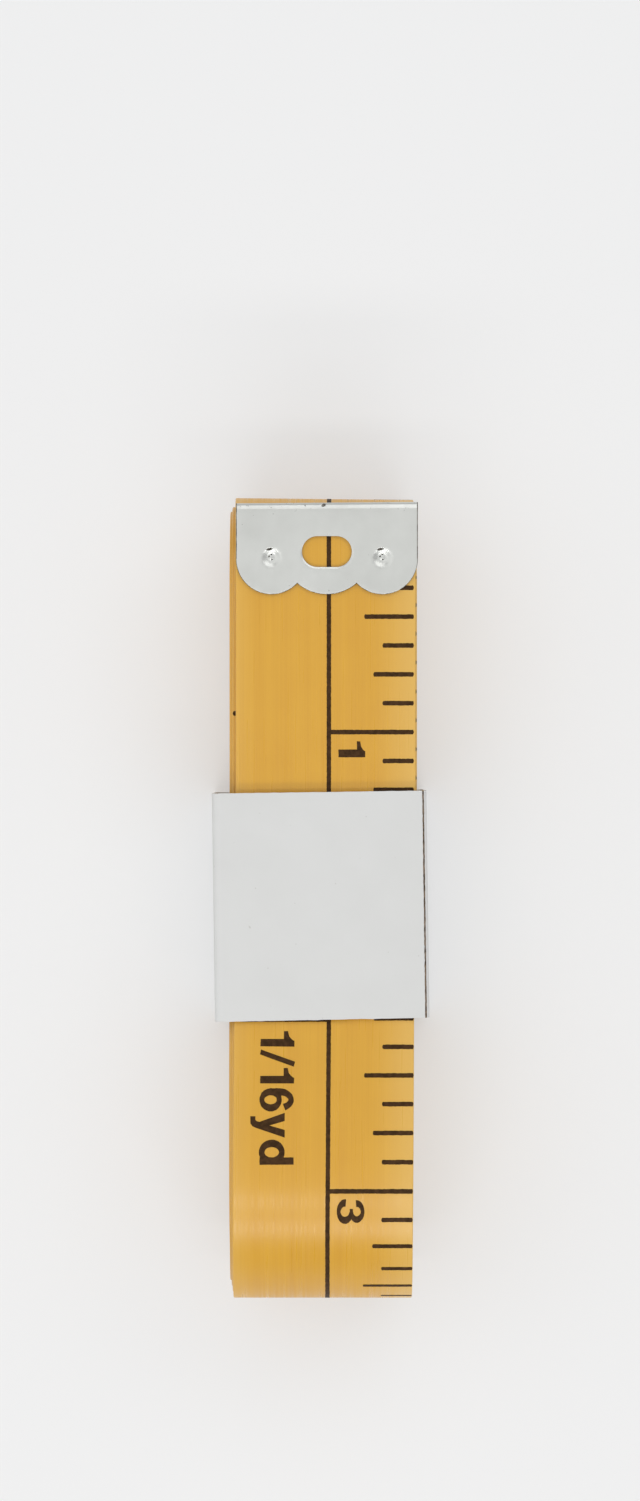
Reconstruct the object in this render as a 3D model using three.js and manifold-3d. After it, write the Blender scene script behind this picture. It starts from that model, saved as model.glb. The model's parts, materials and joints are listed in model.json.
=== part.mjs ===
// Soft tape measure, wound flat into a hank, with a folded metal tip on each end and a paper band round its
// waist. The hank lies on its back, with the printed face of the free end up.
// Millimetres. +X runs across the tape, +Y along the hank towards the tip of the free end, +Z up.
// The origin is under the middle of the hank, on the surface that it lies on.

import * as THREE from 'three';
import { mergeVertices } from 'three/addons/utils/BufferGeometryUtils.js';
import Module from 'manifold-3d';

// The tape
const TAPE_WIDTH = 19.8;
const TAPE_THICKNESS = 0.40;
const TURN_GAP = 0.41;          // least room between neighbouring turns
const CORE_GAP = 0.45;          // room between the inner tip and the first turn

// The hank: a flat spiral that is thin at the waist and the tip end, and swells into fuller loops at the far end
const HANK_LENGTH = 89.0;
const WAIST_THICKNESS = 20.9;
const LOOP_THICKNESS = 24.5;
const SWELL_START = 6.0;        // from the middle of the hank towards the loops
const INNER_END = 20.0;         // end of the inner tip, from the middle of the hank

// The free end, which lifts off the hank from the edge of the band
const TIP_SETBACK = 0.68;       // end of the outer tip, short of the loops beneath it
const BEND_OFFSET = 0.5;        // bend line, from the edge of the band
const BEND_GAP = 0.3;           // parting between the hank and the free end
const FREE_END_LIFT = 0.45;     // extra room under the free end, for the back of its tip
const FREE_END_SHIFT = 0.55;    // to the right, because the outermost run lies slightly askew

// The tips: one blank, folded over the end of the tape
const TIP_SHEET = 0.3;
const TIP_LENGTH = 10.1;
const TIP_OVERHANG = 0.1;       // past each edge of the tape
const TIP_CLEARANCE = 0.05;     // between sheet and tape
const TIP_END_GAP = 0.3;        // between the fold and the end of the tape
const SIDE_LOBE_RADIUS = 3.9;
const MIDDLE_LOBE_RADIUS = 5.0;
const SLOT_LENGTH = 5.5;
const SLOT_WIDTH = 3.4;
const SLOT_DEPTH = 5.4;         // middle of the slot, from the fold
const CLINCH_SPAN = 12.2;       // from one dimple to the other
const CLINCH_DEPTH = 6.1;       // middle of the dimples, from the fold
const CLINCH_RADIUS = 1.15;
const CLINCH_FLOOR_RADIUS = 0.45;
const CLINCH_DROP = 0.22;

// The band: a card strip wrapped once round the waist, its outer end glued over its inner end
const BAND_LENGTH = 25.1;       // along the hank
const BAND_CARD = 0.25;
const BAND_SHIFT = -0.73;       // middle of the band, from the middle of the hank
const BAND_TILT = 0.8;          // degrees
const BAND_CLEARANCE = 0.2;     // to the back of the hank and to the tips
const BAND_SIDE_CLEARANCE = 1.65;
const BAND_CORNER_RADIUS = 0.7;
const BAND_OVERLAP = 9.0;
const BAND_PLY_SETBACK = 0.25;  // cut edge of the outer ply, short of the side wall

// Facets
const ARC_STEPS = 12;           // round one end of a turn
const SWELL_STEPS = 5;          // along the swell of a run
const LOBE_SEGMENTS = 12;
const FOLD_SEGMENTS = 8;
const DIMPLE_SEGMENTS = 16;
const CORNER_SEGMENTS = 5;
const GAP_SAMPLE = 0.5;         // spacing of the points that the gap between turns is measured on

// Heights, from the surface up
const waistBack = BAND_CARD + BAND_CLEARANCE;
const waistFront = waistBack + WAIST_THICKNESS;
const freeEndMiddle = waistFront - TAPE_THICKNESS / 2;

// The tip's leaves, measured from the middle of the tape's thickness
const leafInside = TAPE_THICKNESS / 2 + TIP_CLEARANCE;
const leafOutside = leafInside + TIP_SHEET;
const tipWidth = TAPE_WIDTH + 2 * TIP_OVERHANG;

// The winding's reach is the distance of the tape's middle from the middle plane of the hank. It is counted in
// turns from the core: one turn is a front run, the arc at the tip end, a back run and a loop at the far end.
const RUN_SHARE = 0.38;         // of a turn
const ARC_SHARE = 0.12;
const waistReach = (WAIST_THICKNESS - TAPE_THICKNESS + FREE_END_LIFT) / 2;
const waistMiddle = freeEndMiddle - waistReach;
const coreReach = leafOutside + CORE_GAP + TAPE_THICKNESS / 2;
const woundReach = waistReach - FREE_END_LIFT;
const turns = Math.floor((woundReach - coreReach) / (TAPE_THICKNESS + TURN_GAP));
const turnPitch = (woundReach - coreReach) / turns;

// Share of the hank's half thickness that the winding has reached after so many turns
function woundShare(turn) {
  return (coreReach + turnPitch * turn) / waistReach;
}

// The loops: the last one ends on the front, and the back of the one before it lies on the surface
const loopBackShare = woundShare(turns - ARC_SHARE);
const loopReach = (LOOP_THICKNESS - TAPE_THICKNESS) / (woundShare(turns) + loopBackShare);
const loopMiddle = TAPE_THICKNESS / 2 + loopBackShare * loopReach;

// Places along the hank
const lastLoopReach = woundShare(turns - ARC_SHARE / 2) * loopReach;
const lastArcReach = woundShare(turns - 1 + RUN_SHARE + ARC_SHARE / 2) * waistReach;
const loopCentre = -HANK_LENGTH / 2 + TAPE_THICKNESS / 2 + lastLoopReach;
const arcCentre = HANK_LENGTH / 2 - TAPE_THICKNESS / 2 - lastArcReach;
const tipEnd = HANK_LENGTH / 2 - TIP_SETBACK;
const bandHalfWidth = TAPE_WIDTH / 2 + BAND_SIDE_CLEARANCE + BAND_CARD;
const bandTilt = THREE.MathUtils.degToRad(BAND_TILT);
const bandEdge = BAND_SHIFT + (BAND_LENGTH / 2) * Math.cos(bandTilt) + bandHalfWidth * Math.sin(bandTilt);
const bendLine = bandEdge + BEND_OFFSET;

const wasm = await Module();
wasm.setup();

function solidOf(geometry) {
  const bare = geometry.clone();
  bare.deleteAttribute('normal');
  bare.deleteAttribute('uv');
  const merged = mergeVertices(bare);
  return new wasm.Manifold(new wasm.Mesh({
    numProp: 3,
    vertProperties: merged.attributes.position.array,
    triVerts: Uint32Array.from(merged.index.array),
  }));
}

function geometryOf(solid) {
  const { vertProperties, triVerts } = solid.getMesh();
  const shared = new THREE.BufferGeometry();
  shared.setAttribute('position', new THREE.BufferAttribute(vertProperties, 3));
  shared.setIndex(new THREE.BufferAttribute(triVerts, 1));
  const faceted = shared.toNonIndexed();
  faceted.computeVertexNormals();
  return faceted;
}

// How far the hank has swelled at y: 0 at the waist and the tip end, 1 where the loops begin
function swell(y) {
  return THREE.MathUtils.smoothstep(-y, SWELL_START, -loopCentre);
}

// A point on the front (side 1) or back (side -1) run of a turn
function runPoint(y, side, share) {
  const middle = THREE.MathUtils.lerp(waistMiddle, loopMiddle, swell(y));
  const reach = THREE.MathUtils.lerp(waistReach, loopReach, swell(y));
  return new THREE.Vector3(0, y, middle + side * share * reach);
}

// Stations along a run, from the loops to the given end: close together on the swell, then straight
function runStations(end) {
  const stations = [];
  for (let i = 1; i <= SWELL_STEPS; i++) {
    stations.push(THREE.MathUtils.lerp(loopCentre, -SWELL_START, i / SWELL_STEPS));
  }
  stations.push(end);
  return stations;
}

// The path of the wound tape, from its inner end to the bend line of the free end
function woundPath() {
  const innerEnd = INNER_END - TIP_SHEET - TIP_END_GAP;
  const path = runStations(innerEnd).reverse().map((y) => runPoint(y, 1, 0));

  // The first fold, from the middle of the hank to the first front run
  const foldRadius = (woundShare(0) * loopReach) / 2;
  for (let i = 0; i <= ARC_STEPS; i++) {
    const angle = (Math.PI * i) / ARC_STEPS;
    path.push(new THREE.Vector3(
      0,
      loopCentre - foldRadius * Math.sin(angle),
      loopMiddle + foldRadius * (1 - Math.cos(angle)),
    ));
  }

  const progressAt = (y) => RUN_SHARE * ((y - loopCentre) / (arcCentre - loopCentre));
  for (let turn = 0; turn < turns; turn++) {
    for (const y of runStations(arcCentre)) {
      path.push(runPoint(y, 1, woundShare(turn + progressAt(y))));
    }
    for (let i = 1; i <= ARC_STEPS; i++) {
      const angle = (Math.PI * i) / ARC_STEPS;
      const radius = woundShare(turn + RUN_SHARE + (ARC_SHARE * i) / ARC_STEPS) * waistReach;
      path.push(new THREE.Vector3(
        0,
        arcCentre + radius * Math.sin(angle),
        waistMiddle + radius * Math.cos(angle),
      ));
    }
    for (const y of [...runStations(arcCentre).slice(0, -1).reverse(), loopCentre]) {
      path.push(runPoint(y, -1, woundShare(turn + 2 * RUN_SHARE + ARC_SHARE - progressAt(y))));
    }
    for (let i = 1; i <= ARC_STEPS; i++) {
      const angle = (Math.PI * i) / ARC_STEPS;
      const radius = woundShare(turn + 1 - ARC_SHARE * (1 - i / ARC_STEPS)) * loopReach;
      path.push(new THREE.Vector3(
        0,
        loopCentre - radius * Math.sin(angle),
        loopMiddle - radius * Math.cos(angle),
      ));
    }
  }

  // The last front run climbs the rest of the way to the free end and drifts to its side
  const lastEnd = bendLine - BEND_GAP / 2;
  for (const y of runStations(lastEnd)) {
    const climbed = (y - loopCentre) / (lastEnd - loopCentre);
    const point = runPoint(y, 1, THREE.MathUtils.lerp(woundShare(turns), 1, climbed));
    path.push(point.setX(FREE_END_SHIFT * climbed));
  }
  return path;
}

// Points at equal spacing along a path, each with its distance from the start
function walk(path, spacing) {
  const walked = [];
  let start = 0;
  for (let i = 1; i < path.length; i++) {
    const length = path[i - 1].distanceTo(path[i]);
    const pieces = Math.ceil(length / spacing);
    for (let k = 0; k < pieces; k++) {
      const share = k / pieces;
      walked.push({ point: path[i - 1].clone().lerp(path[i], share), along: start + share * length });
    }
    start += length;
  }
  return walked;
}

// The least gap between two stretches of the tape that lie side by side
function leastGap(path) {
  const walked = walk(path, GAP_SAMPLE);
  const apart = Math.PI * coreReach;
  let least = Infinity;
  for (let i = 0; i < walked.length; i++) {
    for (let k = i + 1; k < walked.length; k++) {
      if (walked[k].along - walked[i].along > apart) {
        least = Math.min(least, walked[i].point.distanceTo(walked[k].point));
      }
    }
  }
  return least - TAPE_THICKNESS;
}

// A flat strip along a path, level from side to side, as one closed body
function stripGeometry(path) {
  const corners = [];
  const faces = [];
  path.forEach((point, i) => {
    const before = path[Math.max(i - 1, 0)];
    const after = path[Math.min(i + 1, path.length - 1)];
    const along = after.clone().sub(before);
    const out = new THREE.Vector3(0, -along.z, along.y).setLength(TAPE_THICKNESS / 2);
    const upper = point.clone().add(out);
    const lower = point.clone().sub(out);
    const [left, right] = [point.x - TAPE_WIDTH / 2, point.x + TAPE_WIDTH / 2];
    corners.push(left, lower.y, lower.z, right, lower.y, lower.z);
    corners.push(right, upper.y, upper.z, left, upper.y, upper.z);
    for (let side = 0; i > 0 && side < 4; side++) {
      const next = (side + 1) % 4;
      const [a, b] = [4 * (i - 1) + side, 4 * (i - 1) + next];
      const [c, d] = [4 * i + side, 4 * i + next];
      faces.push(a, d, b, a, c, d);
    }
  });
  const last = 4 * (path.length - 1);
  faces.push(0, 1, 2, 0, 2, 3);
  faces.push(last, last + 2, last + 1, last, last + 3, last + 2);
  const geometry = new THREE.BufferGeometry();
  geometry.setAttribute('position', new THREE.Float32BufferAttribute(corners, 3));
  geometry.setIndex(faces);
  return geometry;
}

// The punch of one clinch: a blunt cone that starts above the given height and ends below it
function clinchPunch(x, y, z) {
  const profile = [
    new THREE.Vector2(0, -CLINCH_DROP),
    new THREE.Vector2(CLINCH_FLOOR_RADIUS, -CLINCH_DROP),
    new THREE.Vector2(CLINCH_RADIUS, 0),
    new THREE.Vector2(CLINCH_RADIUS, TIP_CLEARANCE / 2),
    new THREE.Vector2(0, TIP_CLEARANCE / 2),
  ];
  const punch = new THREE.LatheGeometry(profile, DIMPLE_SEGMENTS);
  punch.rotateX(Math.PI / 2);
  punch.translate(x, y, z);
  return solidOf(punch);
}

// Presses both clinches of a tip into one layer of sheet or tape, from its upper to its lower face
function pressClinches(solid, end, upperFace, lowerFace) {
  let pressed = solid;
  for (const x of [-CLINCH_SPAN / 2, CLINCH_SPAN / 2]) {
    const y = end - CLINCH_DEPTH;
    pressed = pressed.add(clinchPunch(x, y, lowerFace));
    pressed = pressed.subtract(clinchPunch(x, y, upperFace));
  }
  return pressed;
}

function pressTape(geometry, end, middle) {
  const half = TAPE_THICKNESS / 2;
  return geometryOf(pressClinches(solidOf(geometry), end, middle + half, middle - half));
}

// Outline of a tip's leaf, with its fold towards +Y: straight sides and three round lobes
function tipOutline() {
  const sideX = tipWidth / 2 - SIDE_LOBE_RADIUS;
  const sideY = SIDE_LOBE_RADIUS - TIP_LENGTH;
  const middleY = MIDDLE_LOBE_RADIUS - TIP_LENGTH;

  // The notch is where the circles of the side and middle lobes cross
  const across = new THREE.Vector2(sideX, sideY - middleY);
  const distance = across.length();
  const reach = (MIDDLE_LOBE_RADIUS ** 2 - SIDE_LOBE_RADIUS ** 2 + distance ** 2) / (2 * distance);
  const rise = Math.sqrt(MIDDLE_LOBE_RADIUS ** 2 - reach ** 2);
  const toSide = across.clone().normalize();
  const notch = toSide.clone().multiplyScalar(reach);
  notch.add(new THREE.Vector2(toSide.y, -toSide.x).multiplyScalar(rise));
  const middleAngle = Math.atan2(notch.y, notch.x);
  const sideAngle = Math.atan2(notch.y + middleY - sideY, notch.x - sideX);

  const outline = new THREE.Shape();
  outline.moveTo(tipWidth / 2, leafOutside);
  outline.lineTo(-tipWidth / 2, leafOutside);
  outline.absarc(-sideX, sideY, SIDE_LOBE_RADIUS, Math.PI, Math.PI - sideAngle + 2 * Math.PI);
  outline.absarc(0, middleY, MIDDLE_LOBE_RADIUS, -Math.PI - middleAngle, middleAngle);
  outline.absarc(sideX, sideY, SIDE_LOBE_RADIUS, sideAngle, 0);
  return outline;
}

function slotOutline() {
  const half = (SLOT_LENGTH - SLOT_WIDTH) / 2;
  const outline = new THREE.Shape();
  outline.absarc(half, -SLOT_DEPTH, SLOT_WIDTH / 2, -Math.PI / 2, Math.PI / 2);
  outline.absarc(-half, -SLOT_DEPTH, SLOT_WIDTH / 2, Math.PI / 2, (3 * Math.PI) / 2);
  return outline;
}

// A prism through both leaves of a tip
function throughTip(outline) {
  const prism = new THREE.ExtrudeGeometry(outline, {
    depth: 4 * leafOutside,
    bevelEnabled: false,
    curveSegments: LOBE_SEGMENTS,
  });
  prism.translate(0, 0, -2 * leafOutside);
  return solidOf(prism);
}

// A tip: sheet folded over the end of the tape, trimmed to its lobes, slotted and clinched.
// Its fold ends at the origin and the middle of the tape's thickness is at z = 0.
function tipGeometry() {
  const fold = new THREE.Shape();
  fold.moveTo(-2 * TIP_LENGTH, -leafInside);
  fold.lineTo(-2 * TIP_LENGTH, -leafOutside);
  fold.absarc(-leafOutside, 0, leafOutside, -Math.PI / 2, Math.PI / 2);
  fold.lineTo(-2 * TIP_LENGTH, leafOutside);
  fold.lineTo(-2 * TIP_LENGTH, leafInside);
  fold.absarc(-leafOutside, 0, leafInside, Math.PI / 2, -Math.PI / 2, true);
  const sheet = new THREE.ExtrudeGeometry(fold, {
    depth: 2 * tipWidth,
    bevelEnabled: false,
    curveSegments: FOLD_SEGMENTS,
  });
  sheet.translate(0, 0, -tipWidth);
  sheet.applyMatrix4(new THREE.Matrix4().makeBasis(
    new THREE.Vector3(0, 1, 0),
    new THREE.Vector3(0, 0, 1),
    new THREE.Vector3(1, 0, 0),
  ));
  let tip = solidOf(sheet).intersect(throughTip(tipOutline())).subtract(throughTip(slotOutline()));
  tip = pressClinches(tip, 0, leafOutside, leafInside);
  tip = pressClinches(tip, 0, -leafInside, -leafOutside);
  return geometryOf(tip);
}

// Section of the band: one strip that runs from the cut edge of its outer ply at the right of the face, round
// the left side, the back and the right side, and ends glued under the face
function bandSection() {
  const inside = freeEndMiddle + leafOutside + BAND_CLEARANCE;
  const seam = inside + BAND_CARD;
  const top = seam + BAND_CARD;
  const right = bandHalfWidth;
  const outer = BAND_CORNER_RADIUS;
  const inner = BAND_CORNER_RADIUS - BAND_CARD;
  const turn = Math.PI / 2;

  const section = new THREE.Shape();
  section.moveTo(right - BAND_PLY_SETBACK, seam);
  section.lineTo(right - BAND_PLY_SETBACK, top);
  section.absarc(-right + outer, top - outer, outer, turn, 2 * turn);
  section.absarc(-right + outer, outer, outer, 2 * turn, 3 * turn);
  section.absarc(right - outer, outer, outer, 3 * turn, 4 * turn);
  section.absarc(right - outer, seam - outer, outer, 0, turn);

  const opening = new THREE.Path();
  opening.moveTo(right - BAND_OVERLAP, seam);
  opening.lineTo(right - BAND_OVERLAP, inside);
  opening.absarc(right - outer, seam - outer, inner, turn, 0, true);
  opening.absarc(right - outer, outer, inner, 4 * turn, 3 * turn, true);
  opening.absarc(-right + outer, outer, inner, 3 * turn, 2 * turn, true);
  opening.absarc(-right + outer, top - outer, inner, 2 * turn, turn, true);
  section.holes.push(opening);
  return section;
}

function bandGeometry() {
  const band = new THREE.ExtrudeGeometry(bandSection(), {
    depth: BAND_LENGTH,
    bevelEnabled: false,
    curveSegments: CORNER_SEGMENTS,
  });
  band.translate(0, 0, -BAND_LENGTH / 2);
  band.rotateX(Math.PI / 2);
  return band;
}

const tapeMaterial = new THREE.MeshStandardMaterial({ color: 0xd9a84b, roughness: 0.5, metalness: 0 });
const sheetMaterial = new THREE.MeshStandardMaterial({ color: 0xcdcfcb, roughness: 0.35, metalness: 1 });
const cardMaterial = new THREE.MeshStandardMaterial({ color: 0xdadad7, roughness: 0.9, metalness: 0 });

const tapeMeasure = new THREE.Group();

function addPiece(name, geometry, material, x = 0, y = 0, z = 0) {
  const piece = new THREE.Mesh(geometry, material);
  piece.name = name;
  piece.position.set(x, y, z);
  tapeMeasure.add(piece);
  return piece;
}

// The hank
const path = woundPath();
console.log(`${turns} whole turns, least gap between them ${leastGap(path).toFixed(3)} mm`);
addPiece('tape_winding', pressTape(stripGeometry(path), INNER_END, waistMiddle), tapeMaterial);
addPiece('inner_end_tip', tipGeometry(), sheetMaterial, 0, INNER_END, waistMiddle);

// The free end and its tip
const freeEndStart = bendLine + BEND_GAP / 2;
const freeEndStop = tipEnd - TIP_SHEET - TIP_END_GAP;
const freeEnd = stripGeometry([
  new THREE.Vector3(0, freeEndStart, freeEndMiddle),
  new THREE.Vector3(0, freeEndStop, freeEndMiddle),
]);
addPiece('tape_free_end', pressTape(freeEnd, tipEnd, freeEndMiddle), tapeMaterial, FREE_END_SHIFT);
addPiece('outer_end_tip', tipGeometry(), sheetMaterial, FREE_END_SHIFT, tipEnd, freeEndMiddle);

// The band round the waist
const band = addPiece('paper_band', bandGeometry(), cardMaterial, 0, BAND_SHIFT);
band.rotation.z = bandTilt;

export default tapeMeasure;
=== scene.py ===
# %% [markdown]
# # A soft tape measure, wound flat and held by a paper band
# The object is one long printed strip, wound into a flat hank, with a folded metal tip on each end and a
# card band round its waist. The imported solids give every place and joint, so this lesson only dresses them:
# it builds the strip with its whole length, prints it, folds the tips and wraps the card.

# %% Load the frame
import json
import math

import bpy
import numpy as np
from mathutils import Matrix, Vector, noise
from mathutils.geometry import delaunay_2d_cdt


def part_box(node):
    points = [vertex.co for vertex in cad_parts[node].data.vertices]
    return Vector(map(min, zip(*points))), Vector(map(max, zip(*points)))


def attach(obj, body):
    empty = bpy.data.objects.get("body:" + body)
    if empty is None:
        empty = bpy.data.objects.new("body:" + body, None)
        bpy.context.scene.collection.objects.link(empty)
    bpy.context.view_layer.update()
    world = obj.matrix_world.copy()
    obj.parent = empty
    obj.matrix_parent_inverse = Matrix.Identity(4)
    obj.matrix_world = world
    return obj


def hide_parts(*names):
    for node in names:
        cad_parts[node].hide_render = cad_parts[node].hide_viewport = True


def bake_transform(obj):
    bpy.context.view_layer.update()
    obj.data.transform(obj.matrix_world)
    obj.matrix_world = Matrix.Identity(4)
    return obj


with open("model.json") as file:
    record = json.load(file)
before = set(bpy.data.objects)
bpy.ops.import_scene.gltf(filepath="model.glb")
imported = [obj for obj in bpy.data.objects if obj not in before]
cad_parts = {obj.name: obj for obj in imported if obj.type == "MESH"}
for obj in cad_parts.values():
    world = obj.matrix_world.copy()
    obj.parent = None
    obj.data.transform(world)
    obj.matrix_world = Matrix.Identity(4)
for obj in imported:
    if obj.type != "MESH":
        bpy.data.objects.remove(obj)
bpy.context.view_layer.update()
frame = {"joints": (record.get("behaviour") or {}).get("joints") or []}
MM = 0.001
INCH = 25.4 * MM


def in_mm(*lengths):
    """Lengths as text, to print."""
    return ", ".join(f"{length / MM:.2f}" for length in lengths) + " mm"


# %% [markdown]
# ## The camera
# The tape is its own ruler: its eighths of an inch are all equally far apart in the picture where it lies
# flat, so the view is square on from above, and they give the scale. How the marks close up where the strip
# climbs gives the distance. A long lens from there repeats the picture.

# %% Camera over the printed face
PHOTO_WIDTH, PHOTO_HEIGHT = 640, 1501
PIXELS_PER_METRE = 9.09 / MM  # at the printed face of the free end
ORIGIN_X, ORIGIN_Y = 320.7, 899.5  # pixel over the middle of the hank
CAMERA_HEIGHT = 750 * MM  # above the printed face
SENSOR_HEIGHT = 36.0

scene = bpy.context.scene
face_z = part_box("tape_free_end")[1].z
view_height = PHOTO_HEIGHT / PIXELS_PER_METRE
camera = bpy.data.objects.new("camera", bpy.data.cameras.new("camera"))
camera.data.sensor_fit = "VERTICAL"
camera.data.sensor_height = SENSOR_HEIGHT
camera.data.lens = SENSOR_HEIGHT * CAMERA_HEIGHT / view_height
camera.location = (
    (PHOTO_WIDTH / 2 - ORIGIN_X) / PIXELS_PER_METRE,
    (ORIGIN_Y - PHOTO_HEIGHT / 2) / PIXELS_PER_METRE,
    face_z + CAMERA_HEIGHT,
)
scene.collection.objects.link(camera)
scene.camera = camera
print("lens:", round(camera.data.lens, 1), " eye:", in_mm(*camera.location))

# %% [markdown]
# ## Nodes for the finishes
# Every finish here is a small network of nodes on Blender's standard shader. A few helpers keep them
# readable. A socket is fed with a plain value or with another node's output, and a noise becomes a colour
# between two others, because no real surface has one even tone.

# %% Helpers for node materials
def new_material(name):
    material = bpy.data.materials.new(name)
    material.use_nodes = True
    return material, material.node_tree.nodes["Principled BSDF"]


def feed(socket, value):
    if isinstance(value, bpy.types.NodeSocket):
        socket.id_data.links.new(value, socket)
    else:
        socket.default_value = value


def set_inputs(node, **values):
    for name, value in values.items():
        feed(node.inputs[name.replace("_", " ")], value)
    return node


def add_node(near, kind, **values):
    """A new node in the network that holds the given node or socket."""
    return set_inputs(near.id_data.nodes.new(kind), **values)


def worked_out(operation, *values):
    node = add_node(values[0], "ShaderNodeMath")
    node.operation = operation
    for socket, value in zip(node.inputs, values):
        feed(socket, value)
    return node.outputs["Value"]


def share_between(value, low, high, kind="LINEAR"):
    """How far a value has come from low to high: nothing to one."""
    node = add_node(value, "ShaderNodeMapRange", Value=value, From_Min=low, From_Max=high)
    node.interpolation_type = kind
    return node.outputs["Result"]


def mixed(share, first, second, blend="MIX"):
    mix = add_node(first, "ShaderNodeMix")
    mix.data_type = "RGBA"
    mix.blend_type = blend
    return set_inputs(mix, Factor=share, A=first, B=second).outputs["Result"]


print("node helpers ready")


# %% Places, noises and coats
def object_places(shader):
    return add_node(shader, "ShaderNodeTexCoord").outputs["Object"]


def one_axis(place, axis):
    return add_node(place, "ShaderNodeSeparateXYZ", Vector=place).outputs[axis]


def stretched(place, scale):
    """The places, scaled differently along each axis."""
    return add_node(place, "ShaderNodeMapping", Vector=place, Scale=scale).outputs["Vector"]


def plain_noise(place, scale=1.0, detail=3.0):
    return add_node(place, "ShaderNodeTexNoise", Vector=place, Scale=scale, Detail=detail).outputs["Fac"]


def noise_between(place, dark, light, scale=1.0, detail=3.0, low=0.35, high=0.65):
    """The colour of a noise over the given places, from dark to light."""
    ramp = add_node(place, "ShaderNodeValToRGB", Fac=plain_noise(place, scale, detail))
    for element, position, colour in zip(ramp.color_ramp.elements, (low, high), (dark, light)):
        element.position = position
        element.color = (*colour, 1)
    return ramp.outputs["Color"]


def add_bump(shader, height, strength, distance):
    bump = add_node(shader, "ShaderNodeBump", Height=height, Strength=strength, Distance=distance)
    set_inputs(shader, Normal=bump.outputs["Normal"])


def coat(pieces, *finishes):
    for piece in pieces:
        for finish in finishes:
            piece.data.materials.append(finish)
    print("finish:", " and ".join(finish.name for finish in finishes))


print("finish helpers ready")

# %% [markdown]
# ## Floor and light
# A plain pale floor lies where the hank rests. To the eye it is nearly half plain white, so that the tape
# doesn't tint it and its shadow stays soft. The world is an even grey-white sky, and five soft panels add
# shape: one overhead, which the flat metal mirrors, one at the left, one past the tip, which brightens its
# fold and rims, and two narrow strips in front, whose mirror images are the two pale bands across the bend.
# Together they light an upward face with about the strength of one, so that a colour renders about as it is
# written.

# %% Floor and sky
FLOOR_SIZE = 6.0
FLOOR_DROP = 0.02 * MM  # just below the lowest point of the hank
FLOOR_COLOUR = (0.90, 0.90, 0.90)
FLOOR_WHITE = (0.87, 0.87, 0.87)
FLOOR_GLOW = 0.45  # share of the floor that is plain white to the eye
SKY_COLOUR = (0.98, 0.99, 1.0)
SKY_STRENGTH = 0.55

scene.view_settings.view_transform = "Standard"
corners = [(x * FLOOR_SIZE / 2, y * FLOOR_SIZE / 2, 0) for x, y in ((-1, -1), (1, -1), (1, 1), (-1, 1))]
floor = bpy.data.objects.new("floor", bpy.data.meshes.new("floor"))
floor.data.from_pydata(corners, [], [(0, 1, 2, 3)])
floor.location.z = -FLOOR_DROP
scene.collection.objects.link(floor)
floor_finish, shader = new_material("pale_floor")
set_inputs(shader, Base_Color=(*FLOOR_COLOUR, 1), Roughness=0.9, Specular_IOR_Level=0.1)
rays = add_node(shader, "ShaderNodeLightPath").outputs
looked_at = worked_out("MAXIMUM", rays["Is Camera Ray"], rays["Is Glossy Ray"])
looked_at = worked_out("MAXIMUM", looked_at, rays["Is Transmission Ray"])
white = add_node(shader, "ShaderNodeEmission", Color=(*FLOOR_WHITE, 1))
both = add_node(shader, "ShaderNodeMixShader", Fac=worked_out("MULTIPLY", looked_at, FLOOR_GLOW))
feed(both.inputs[1], shader.outputs["BSDF"])
feed(both.inputs[2], white.outputs["Emission"])
set_inputs(shader.id_data.nodes["Material Output"], Surface=both.outputs["Shader"])
coat([floor], floor_finish)

world = bpy.data.worlds.new("sky")
scene.world = world
world.use_nodes = True
set_inputs(world.node_tree.nodes["Background"], Color=(*SKY_COLOUR, 1), Strength=SKY_STRENGTH)

# %% Soft panels
PANELS = {  # place, size, and how bright the face looks
    "panel_above": ((0.0, 0.05, 1.30), (0.90, 0.90), 0.28),
    "panel_left": ((-0.60, 0.20, 0.75), (0.90, 0.90), 0.48),
    "panel_far": ((0.24, 0.56, 0.70), (0.90, 0.34), 1.2),
    "strip_high": ((0.0, -0.39, 1.00), (0.90, 0.11), 4.6),
    "strip_low": ((0.0, -0.65, 0.65), (0.90, 0.106), 5.4),
}

for name, (place, size, radiance) in PANELS.items():
    panel = bpy.data.lights.new(name, "AREA")
    panel.shape = "RECTANGLE"
    panel.size, panel.size_y = size
    panel.energy = radiance * math.pi * size[0] * size[1]
    lamp = bpy.data.objects.new(name, panel)
    lamp.location = place
    lamp.rotation_euler = (Vector((0, 0, face_z)) - lamp.location).to_track_quat("-Z", "Y").to_euler()
    scene.collection.objects.link(lamp)
print("sky", SKY_STRENGTH, "and", len(PANELS), "panels")

# %% [markdown]
# ## Sizes from the solids
# The strip, the tips and the band have to sit where the solids are, so their measures are read from the
# frame. A few inner measures don't show in the boxes, such as the thickness of the tape, and are named as
# in the solids.

# %% Read the frame
TAPE_THICKNESS = 0.40 * MM
WAIST_THICKNESS = 20.9 * MM
FREE_END_LIFT = 0.45 * MM  # extra room under the free end, for the back of its tip
SWELL_START = 6.0 * MM  # from the middle of the hank towards the loops
TIP_SHEET = 0.3 * MM
TIP_CLEARANCE = 0.05 * MM  # between sheet and tape
TIP_END_GAP = 0.3 * MM  # between the fold and the end of the tape
CORE_GAP = 0.45 * MM  # room between the inner tip and the first turn

winding_low, winding_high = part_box("tape_winding")
free_low, free_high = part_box("tape_free_end")
tip_low, tip_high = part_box("outer_end_tip")
inner_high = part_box("inner_end_tip")[1]
band_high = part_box("paper_band")[1]
lift = next(joint for joint in frame["joints"] if joint["name"] == "free_end_lift")
bend_y = lift["pos_m"][1]
tape_width = free_high.x - free_low.x
free_end_shift = (free_high.x + free_low.x) / 2
free_end_middle = free_high.z - TAPE_THICKNESS / 2
print("tape width:", in_mm(tape_width), " bend line:", in_mm(bend_y))

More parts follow.
